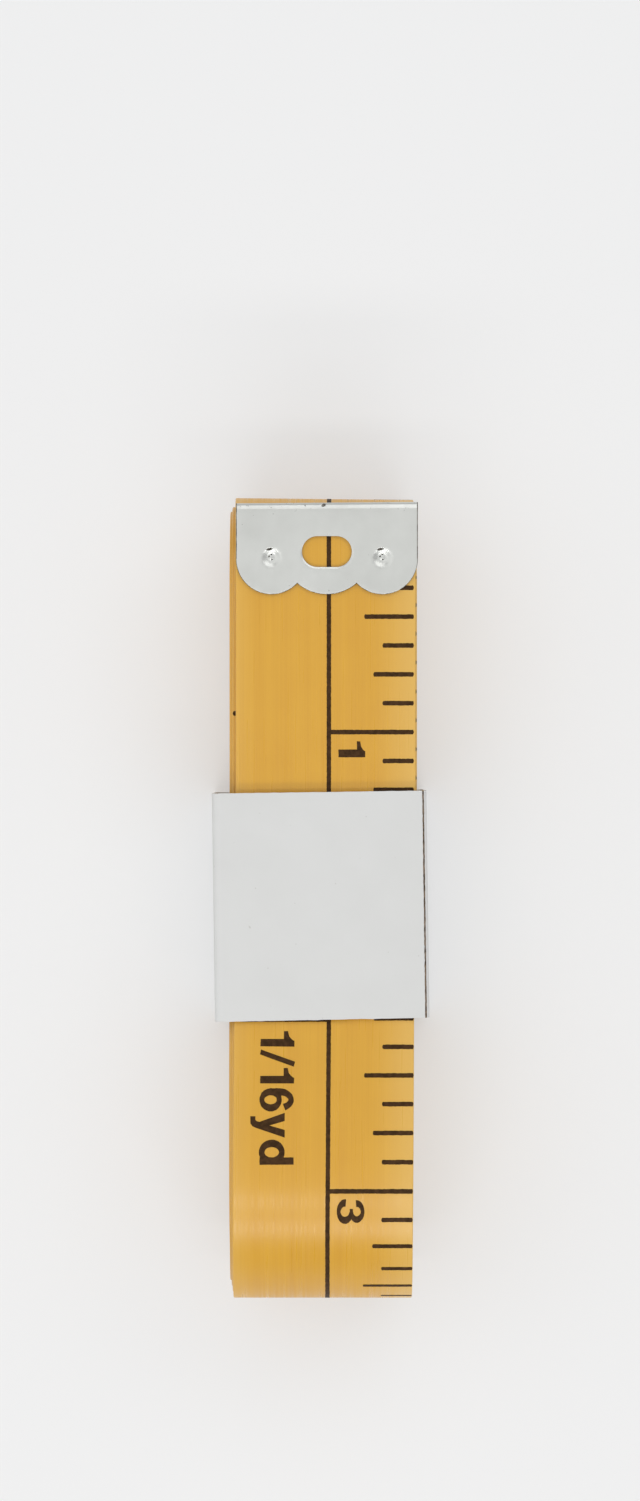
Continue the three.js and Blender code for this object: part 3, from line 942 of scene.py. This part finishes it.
leaf_middle = (leaf_inside + leaf_outside) / 2
sloped = SHOULDER_RADIUS * (1 - math.cos(SHOULDER_TILT)) + SHOULDER_LENGTH * math.sin(SHOULDER_TILT)
fold_radius = (leaf_middle - sloped) / math.cos(SHOULDER_TILT)
fold_turns = np.array([0, math.pi / 2 - SHOULDER_TILT, math.pi / 2 - SHOULDER_TILT, math.pi / 2])
fold_marks = np.cumsum([0, fold_radius * fold_turns[1], SHOULDER_LENGTH, SHOULDER_RADIUS * SHOULDER_TILT])
fold_half = fold_marks[-1]  # from the ridge of the fold to the flat leaf
fold_v = np.linspace(0, fold_half, FOLD_STEPS)
fold_turn = np.interp(fold_v, fold_marks, fold_turns)


def summed(slopes):
    return np.concatenate([[0], np.cumsum((slopes[1:] + slopes[:-1]) / 2 * fold_v[1])])


fold_y = -TIP_SHEET / 2 - summed(np.sin(fold_turn))
fold_z = summed(np.cos(fold_turn))
to_blank = fold_half + fold_y[-1]  # blank measures start at the ridge, depths at the fold's end
round_rows = np.linspace(0, fold_marks[1], ROUND_ROWS)
shoulder_rows = np.linspace(fold_marks[2], fold_half, SHOULDER_ROWS)
fold_rows = np.concatenate([-shoulder_rows[::-1], -round_rows[:0:-1], round_rows, shoulder_rows])
print("radius of the fold:", in_mm(fold_radius), " across half of it:", in_mm(fold_half))

# %% The blank and how it folds
TIP_LENGTH = 10.1 * MM
SIDE_LOBE_RADIUS = 3.9 * MM
MIDDLE_LOBE_RADIUS = 5.0 * MM
TIP_GRID = 0.6 * MM
ARC_STEP = 5  # degrees
FOLD_SLANT = 0.008  # the fold isn't quite square to the tape
FOLD_SLANT_REACH = 5.0 * MM

tip_width = tip_high.x - tip_low.x
side_x, side_y = tip_width / 2 - SIDE_LOBE_RADIUS, TIP_LENGTH - SIDE_LOBE_RADIUS
middle_y = TIP_LENGTH - MIDDLE_LOBE_RADIUS


def fine_arc(x, y, radius, start, end, step=ARC_STEP):
    return arc_points(x, y, (radius, radius), start, end, step)


def lobes(inset=0.0):
    """The scalloped edge of one leaf from right to left, as (across, depth), or a line that far inside it."""
    middle_radius, side_radius = MIDDLE_LOBE_RADIUS - inset, SIDE_LOBE_RADIUS - inset
    apart = Vector((side_x, side_y - middle_y))
    reach = (middle_radius ** 2 - side_radius ** 2 + apart.length_squared) / (2 * apart.length)
    rise = math.sqrt(middle_radius ** 2 - reach ** 2)
    toward = apart.normalized()
    notch = toward * reach + Vector((-toward.y, toward.x)) * rise
    middle_angle = math.degrees(math.atan2(notch.y, notch.x))
    side_angle = math.degrees(math.atan2(notch.y + middle_y - side_y, notch.x - side_x))
    edge = [(side_x + side_radius, y) for y in np.arange(-fold_y[-1] + TIP_GRID, side_y, TIP_GRID)]
    right = edge + fine_arc(side_x, side_y, side_radius, 0, side_angle)
    middle = fine_arc(0, middle_y, middle_radius, middle_angle, 180 - middle_angle)
    return right + middle[1:-1] + mirrored(right)


def from_edge(across, depth):
    """How far a point of a leaf lies from the leaf's own edge."""
    x = np.abs(across)
    in_side = SIDE_LOBE_RADIUS - np.hypot(x - side_x, depth - side_y)
    in_middle = MIDDLE_LOBE_RADIUS - np.hypot(x, depth - middle_y)
    return np.where(depth > side_y, np.maximum(in_side, in_middle), tip_width / 2 - x)


def both_leaves(outline):
    """The same outline on both leaves of the blank, in blank measures."""
    front_leaf = [(x, y + to_blank) for x, y in outline]
    return front_leaf, [(x, -v) for x, v in reversed(front_leaf)]


def tip_place(flat, height):
    """Folds points of the blank round the end of the tape; the fold ends at y = 0 and points to +Y."""
    across, v = flat.T
    on_fold = np.minimum(np.abs(v), fold_half)
    turn = np.interp(on_fold, fold_v, fold_turn)
    y = np.interp(on_fold, fold_v, fold_y) + height * np.cos(turn) - (np.abs(v) - on_fold)
    y = y + FOLD_SLANT * across * np.clip(1 - np.abs(v) / FOLD_SLANT_REACH, 0, 1)
    z = np.sign(v) * (np.interp(on_fold, fold_v, fold_z) + height * np.sin(turn))
    return np.stack([across, y, z - clinch_drop(across, np.abs(v) - to_blank)], axis=1)


print("blank:", in_mm(tip_width, 2 * (TIP_LENGTH + to_blank)))

# %% [markdown]
# ## Slots, punches and tears
# The die that cuts a slot draws its edge down, and the outer edge of the sheet is rolled, with a thin band
# along it painted dark as shade. The punches tear the sheet a little, and there is one tear beside the fold.
# These are drops of the outer face, with rings and small grids of points to carry them, and the torn faces
# are painted dark, as shade in the cracks.

# %% Slots and tears
SLOT_LENGTH = 5.5 * MM
SLOT_WIDTH = 3.4 * MM
SLOT_DEPTH = 5.4 * MM
SLOT_ARC_STEP = 7.5  # degrees
SLOT_POINTS = 8  # along its straight edges
ROLL_REACH = 0.20 * MM  # the edge of the slot is drawn down most on the side away from the fold
ROLL_DROP = 0.075 * MM
ROLL_POWER = 1.25
ROLL_SIDES = (-0.6, 0.5)  # where the roll starts and is full, from -1 at the fold's side to 1 opposite
NICKS = [  # tears from the punch: across and along from its middle, and half sizes, mm
    (-0.20, -0.97, 0.36, 0.14), (-0.25, -0.17, 0.09, 0.10),
    (0.01, -0.40, 0.10, 0.07), (0.06, 0.18, 0.12, 0.06),
]
FOLD_NICK = (-0.36, 0.33, 0.24, 0.16)  # and one beside the fold: across, depth and half sizes, mm
NICK_LEAN = 0.45

slot_reach = (SLOT_LENGTH - SLOT_WIDTH) / 2
tears = [np.array(FOLD_NICK) * MM]
for side in (-1, 1):
    tears += [np.array(nick) * MM + (side * CLINCH_SPAN / 2, CLINCH_DEPTH, 0, 0) for nick in NICKS]


def grown_slot(by):
    """The slot's outline, moved outwards."""
    right = fine_arc(slot_reach, SLOT_DEPTH, SLOT_WIDTH / 2 + by, -90, 90, SLOT_ARC_STEP)
    places = np.linspace(slot_reach, -slot_reach, SLOT_POINTS)[1:-1]
    top = [(x, SLOT_DEPTH + SLOT_WIDTH / 2 + by) for x in places]
    return right + top + mirrored(right) + [(-x, 2 * SLOT_DEPTH - y) for x, y in top]


def slot_roll(across, depth):
    """How far the die draws the sheet's outer face down, beside the slot."""
    from_line = np.hypot(np.maximum(np.abs(across) - slot_reach, 0), depth - SLOT_DEPTH)
    away = from_line - SLOT_WIDTH / 2
    side = (depth - SLOT_DEPTH) / np.maximum(from_line, SLOT_WIDTH / 4)
    return ROLL_DROP * smooth_step(side, *ROLL_SIDES) * np.clip(1 - away / ROLL_REACH, 0, 1) ** ROLL_POWER


def nick_share(across, v):
    """One in the middle of a tear of the front leaf, and nothing outside it."""
    share = np.zeros(np.shape(across))
    for x, depth, half_across, half_along in tears:
        u = (across - x) / half_across
        w = (v - to_blank - depth) / half_along + NICK_LEAN * u
        share = np.maximum(share, 1 - u * u - w * w)
    return share


print(len(tears), "small tears")

# %% Points and lines of the blank
TEAR_ACROSS, TEAR_ALONG = np.linspace(-1.2, 1.2, 11), np.linspace(-1.4, 1.4, 9)  # points, in half sizes
CLINCH_RINGS = (0.15, 0.3, 0.45, 0.62, 0.8, 0.98, 1.15, 1.35)  # in clinch radii
CLINCH_ARC_STEP = 15  # degrees
ROLL_RINGS = (0.03 * MM, 0.07 * MM, 0.12 * MM, 0.17 * MM, 0.21 * MM)
RIM_RINGS = (0.05 * MM, 0.09 * MM)
RIM_REACH = 0.09 * MM

columns = np.arange(-tip_width / 2 + TIP_GRID, tip_width / 2 - TIP_GRID / 2, TIP_GRID)


def tip_spots():
    """Points inside the blank: a plain grid on both leaves, and circles and small grids at the punches."""
    leaf = []
    for depth in np.arange(-fold_y[-1] + TIP_GRID, TIP_LENGTH, TIP_GRID):
        for x in columns:
            away = math.hypot(abs(x) - CLINCH_SPAN / 2, depth - CLINCH_DEPTH)
            if away > CLINCH_RADIUS + TIP_GRID / 2 and from_edge(x, depth) > 2 * RIM_REACH:
                leaf.append((x, depth))
    for x in (-CLINCH_SPAN / 2, CLINCH_SPAN / 2):
        for share in CLINCH_RINGS:
            radius = share * CLINCH_RADIUS
            leaf += fine_arc(x, CLINCH_DEPTH, radius, 0, 360 - CLINCH_ARC_STEP, CLINCH_ARC_STEP)
    for x, depth, half_across, half_along in tears:
        for u in TEAR_ACROSS * half_across:
            leaf += [(x + u, depth + w) for w in TEAR_ALONG * half_along]
    front_leaf, back_leaf = both_leaves(leaf)
    return front_leaf + back_leaf[::-1]


def blank_edge(inset=0.0):
    """The outline of the whole blank, or a ring that far inside it."""
    front_edge, back_edge = both_leaves(lobes(inset))
    right = [(tip_width / 2 - inset, v) for v in fold_rows]
    return right + front_edge + mirrored(right) + back_edge


def tip_lines():
    """Lines that the triangles keep: rings along the edges and round the slots, and rows along the fold."""
    rings = [blank_edge(by) for by in RIM_RINGS]
    rings += [ring for by in ROLL_RINGS for ring in both_leaves(grown_slot(by))]
    middle, _, half_across, _ = tears[0]
    fine = middle + TEAR_ACROSS * half_across
    places = np.unique([-tip_width / 2, *columns, *fine, tip_width / 2])
    return [ring + ring[:1] for ring in rings] + [[(x, v) for x in places] for v in fold_rows]


print("a leaf has", len(tip_spots()) // 2, "points inside")

# %% Cut, fold and place the tips
RIM_DROP = 0.02 * MM  # the outer edge is drawn down too, and a band along it is painted dark as shade
SIDE_SHADE_BAND, LOBE_SHADE_BAND = 0.095 * MM, 0.055 * MM  # how wide the painted shade along the edge is
NICK_DROP = 0.07 * MM
TORN = 0.12  # share of a tear's depth from which it is painted dark as shade


def folded_tip(name, fold_end):
    flat, triangles = filled([blank_edge()], both_leaves(grown_slot(0)), tip_spots(), tip_lines())
    triangles = [t[::-1] for t in triangles]  # depth runs against +Y, so this turns their faces outwards
    across, v = flat.T
    depth = np.abs(v) - to_blank
    nicks = nick_share(across, v)
    to_edge = from_edge(across, depth)
    past_shade_band = to_edge - np.where(depth > side_y, LOBE_SHADE_BAND, SIDE_SHADE_BAND)
    rim_roll = RIM_DROP * np.clip(1 - to_edge / RIM_REACH, 0, 1) ** 2
    outer = TIP_SHEET / 2 - slot_roll(across, depth) - rim_roll - NICK_DROP * np.sqrt(nicks)
    vertices = np.concatenate([tip_place(flat, outer), tip_place(flat, np.full(len(flat), -TIP_SHEET / 2))])
    tip = finish_mesh(name, vertices + np.array(fold_end), slab_faces(triangles, len(flat)))
    for polygon, triangle in zip(tip.data.polygons, triangles):
        # painted shade: the tears and a thin band along the edge take the dark finish
        polygon.material_index = int(np.mean(nicks[triangle]) > TORN or max(past_shade_band[triangle]) < 0)
    for polygon in tip.data.polygons[2 * len(triangles):]:
        polygon.material_index = 1
    return tip


inner_shift = float(sideways(along[-1]))
outer_tip = folded_tip("outer_tip", (free_end_shift + TIP_ASIDE, tip_high.y - TIP_BACK, free_end_middle))
inner_tip = folded_tip("inner_tip", (inner_shift, inner_high.y, waist_middle))
print("tips:", len(outer_tip.data.polygons), "faces each")

# %% [markdown]
# ## The tips' finish
# Bright sheet steel, bare and a little dulled: close to white in soft light, with faint rolling lines,
# cloudy handling marks and a few dark specks, more of them by the fold. All of it sits in roughness and a
# trace of colour, because metal shows its surroundings more than its own pattern. The cut walls, a thin band
# along the edges and the tears are painted dark, as shade.

# %% Dulled bright sheet
SHEET_TONES = (0.635, 0.642, 0.612), (0.71, 0.717, 0.687)
SPECK, WORN_SPECK, CLEAR = (0.45, 0.44, 0.42), (0.34, 0.33, 0.32), (1.0, 1.0, 1.0)
SPECK_SCALE = 2600.0
WORN_REACH = 1.3 * MM  # from the fold, where the sheet has more specks
ROLLING_LINES = (6000.0, 400.0, 400.0)
SMOOTH, ROUGH = (0.325,) * 3, (0.375,) * 3
SHADE_TONES = (0.045, 0.038, 0.03), (0.27, 0.25, 0.22)

tip_finish, shader = new_material("bright_sheet")
place = object_places(shader)
clouds = noise_between(place, *SHEET_TONES, scale=170.0, detail=6.0)
specks = noise_between(place, SPECK, CLEAR, SPECK_SCALE, detail=2.0, low=0.19, high=0.24)
worn = noise_between(place, WORN_SPECK, CLEAR, SPECK_SCALE, detail=2.0, low=0.27, high=0.34)
near_fold = share_between(one_axis(place, "Y"), tip_high.y - WORN_REACH, tip_high.y - WORN_REACH / 3)
marked = mixed(near_fold, mixed(1.0, clouds, specks, "MULTIPLY"), worn, "MULTIPLY")
rolled = noise_between(stretched(place, ROLLING_LINES), SMOOTH, ROUGH)
set_inputs(shader, Base_Color=marked, Roughness=rolled, Metallic=1.0)
# painted shade: a dark finish for the cut walls, the band along the edges and the tears
shade_finish, shader = new_material("dark_painted_shade")
painted_shade = noise_between(object_places(shader), *SHADE_TONES, scale=1400.0)
set_inputs(shader, Base_Color=painted_shade, Roughness=0.5, Metallic=1.0)
coat((outer_tip, inner_tip), tip_finish, shade_finish)

# %% [markdown]
# ## The paper band
# The band is one strip of white card, creased round the waist, with its outer end glued over its inner end.
# Its cut edge at the right of the face is slanted and frayed, and is dark brown. The
# strip is a grid that follows a path of straights and corner arcs. Its edges stray a little, as card cut in
# a press does.

# %% Path of the card
BAND_LENGTH = 25.1 * MM  # along the hank
BAND_CARD = 0.25 * MM
BAND_SHIFT = -0.73 * MM
BAND_TILT = math.radians(0.8)
BAND_CORNER_RADIUS = 0.7 * MM
BAND_OVERLAP = 9.0 * MM
BAND_PLY_SETBACK = 0.18 * MM
PLY_GAP = 0.01 * MM
CARD_STEP = 0.6 * MM
CORNER_STEP = 10  # degrees

tilt_cosine, tilt_sine = math.cos(BAND_TILT), math.sin(BAND_TILT)
band_half = band_high.x * tilt_cosine - BAND_LENGTH / 2 * tilt_sine
band_top = band_high.z


def straight(start, end):
    count = max(2, round(math.dist(start, end) / CARD_STEP))
    return [tuple(p) for p in np.linspace(start, end, count)]


def band_path():
    """Places (x, z) of the middle of the card, from the outer end round the waist to the inner end."""
    half_card = BAND_CARD / 2
    bend = BAND_CORNER_RADIUS - half_card
    inset = band_half - BAND_CORNER_RADIUS
    seam = band_top - BAND_CARD - PLY_GAP
    low, high = BAND_CORNER_RADIUS, band_top - BAND_CORNER_RADIUS
    over = bend + BAND_CARD + PLY_GAP
    lap = math.degrees(math.asin((band_half - BAND_PLY_SETBACK - inset) / over))

    corners = [(-inset, high, 90), (-inset, low, 180), (inset, low, 270), (inset, seam - low, 0)]
    points = fine_arc(inset, seam - low, over, 90 - lap, 90)
    for x, z, start in corners:
        turn = fine_arc(x, z, bend, start, start + 90, CORNER_STEP)
        points += straight(points[-1], turn[0])[1:] + turn[1:]
    points += straight(points[-1], (band_half - BAND_OVERLAP, seam - half_card))[1:]
    return np.array(points)


card_path = band_path()
card_at = distances(card_path)
print("card strip:", in_mm(card_at[-1], BAND_LENGTH))

# %% Wrap the card
FRAY = 0.05 * MM
FRAY_LENGTH = 0.5 * MM
FRAY_LEVEL = 0.2  # of the noise
END_SEED, LOW_SEED, HIGH_SEED = 9.0, 1.0, 5.0
EDGE_SLANT = 0.31 * MM  # the cut edge of the outer end leans back
SLANT_REACH = 2.0 * MM
END_TAPER = 0.15 * MM  # the strip is a little narrower at both ends
CARD_SHARP_ANGLE = 60  # degrees

card_rows = np.linspace(-BAND_LENGTH / 2, BAND_LENGTH / 2, round(BAND_LENGTH / CARD_STEP) * 2)


def frayed(at, seed):
    return FRAY * noise.noise(Vector((at / FRAY_LENGTH, seed, FRAY_LEVEL)))


def card_face(face):
    """A grid of points over one face of the wrapped card: 1 is the outer face and -1 the inner one."""
    out = outward_of(card_path) * BAND_CARD / 2
    x, z = np.zeros((2, len(card_path), len(card_rows)))
    for k, row in enumerate(card_rows):
        cut = EDGE_SLANT * (face > 0) + frayed(row, END_SEED + face) + FRAY
        at = card_at + cut * np.clip(1 - card_at / SLANT_REACH, 0, 1)
        x[:, k], z[:, k] = (np.interp(at, card_at, card_path[:, i] + face * out[:, i]) for i in (0, 1))
    to_end = np.minimum(card_at, card_at[-1] - card_at - BAND_OVERLAP)
    narrowing = END_TAPER * np.clip(1 - to_end / (2 * band_half), 0, 1)
    y = card_rows[None, :] + narrowing[:, None] * (0.5 - card_rows[None, :] / BAND_LENGTH)
    for i in range(len(card_path)):
        y[i, 0] += frayed(i * CARD_STEP, LOW_SEED + face)
        y[i, -1] += frayed(i * CARD_STEP, HIGH_SEED + face)
    turned = [x * tilt_cosine - y * tilt_sine, x * tilt_sine + y * tilt_cosine + BAND_SHIFT, z]
    return np.stack(turned, axis=-1).reshape(-1, 3)


def card_band(name):
    width = len(card_rows)
    triangles = []
    for a in range(len(card_path) * width - width):
        if (a + 1) % width:
            triangles += [(a, a + width + 1, a + width), (a, a + 1, a + width + 1)]
    faces = slab_faces(triangles, len(card_path) * width)
    band = finish_mesh(name, np.concatenate([card_face(1), card_face(-1)]), faces, CARD_SHARP_ANGLE)
    for polygon in band.data.polygons[2 * len(triangles):]:
        polygon.material_index = int(max(polygon.vertices[:2]) < width)
    return band


paper_wrap = card_band("card_band")
print("band:", len(paper_wrap.data.polygons), "faces")

# %% [markdown]
# ## The card's finish
# The face is matt and off-white, with a trace of cloud and a few tiny specks. The long edges are cut clean
# and are white too, but the cut edge of the outer end is dark brown. Two slots hold the two finishes, and the
# rim faces of that end take the second one.

# %% White face and dark brown end edge
CARD_TONES = (0.702, 0.702, 0.687), (0.720, 0.720, 0.706)
CARD_SPECK = (0.84, 0.83, 0.81)
END_EDGE_TONES = (0.06, 0.036, 0.02), (0.24, 0.165, 0.105)

card_finish, shader = new_material("white_card")
place = object_places(shader)
clouds = noise_between(place, *CARD_TONES, scale=160.0)
specks = noise_between(place, CARD_SPECK, CLEAR, scale=1500.0, detail=1.0, low=0.18, high=0.225)
set_inputs(shader, Base_Color=mixed(1.0, clouds, specks, "MULTIPLY"), Roughness=0.85)
add_bump(shader, plain_noise(place, scale=3500.0, detail=4.0), strength=0.15, distance=0.03 * MM)
end_edge_finish, shader = new_material("dark_brown_end_edge")
end_edge_tone = noise_between(object_places(shader), *END_EDGE_TONES, scale=1800.0)
set_inputs(shader, Base_Color=end_edge_tone, Roughness=0.95)
coat([paper_wrap], card_finish, end_edge_finish)

# %% [markdown]
# ## What moves with what
# The hank and the inner tip stay together. The outer tip rides on the free end. The tail and the prints on
# it keep their places baked in and ride on nothing. The card band slides by itself. Each new piece stands for
# its plain solid, which is hidden.

# %% Ride, bake and hide
for piece in (tape_tail, tail_print, back_print):
    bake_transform(piece)
for piece in (tape_hank, hank_print, inner_tip):
    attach(piece, "hank")
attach(outer_tip, "free_end")
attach(paper_wrap, "band")
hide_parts("tape_winding")
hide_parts("tape_free_end")
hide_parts("outer_end_tip")
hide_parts("inner_end_tip")
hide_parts("paper_band")
